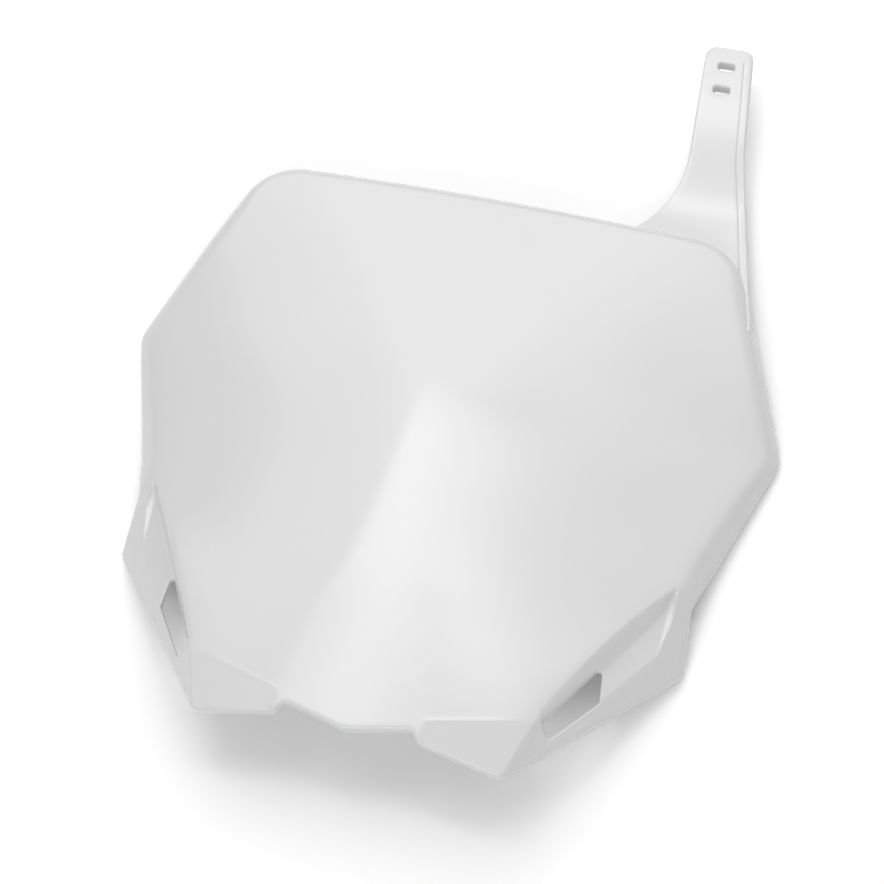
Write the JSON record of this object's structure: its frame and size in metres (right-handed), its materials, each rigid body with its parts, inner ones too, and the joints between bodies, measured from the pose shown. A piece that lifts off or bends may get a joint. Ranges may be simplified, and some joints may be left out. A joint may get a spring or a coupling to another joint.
{
  "type": "motorcycle front number plate",
  "caption": "Moulded front number plate for an off-road motorcycle: a domed shell with a turned-back rim, vented ears, a faceted nose and a slotted strap that hooks round the handlebar.",
  "frame": {"origin": "centre of the bounding box in X and Y, at the lowest point of the rim in Z, with the plate lying face up", "axes": "+Z out of the face, +Y up the face towards the top edge and the strap, +X to the right seen from the front"},
  "size_m": [0.2386, 0.2858, 0.0421],
  "materials": {
    "white_plastic": "smooth gloss moulding"
  },
  "bodies": {
    "root": {"number_plate": "white_plastic"}
  },
  "joints": []
}
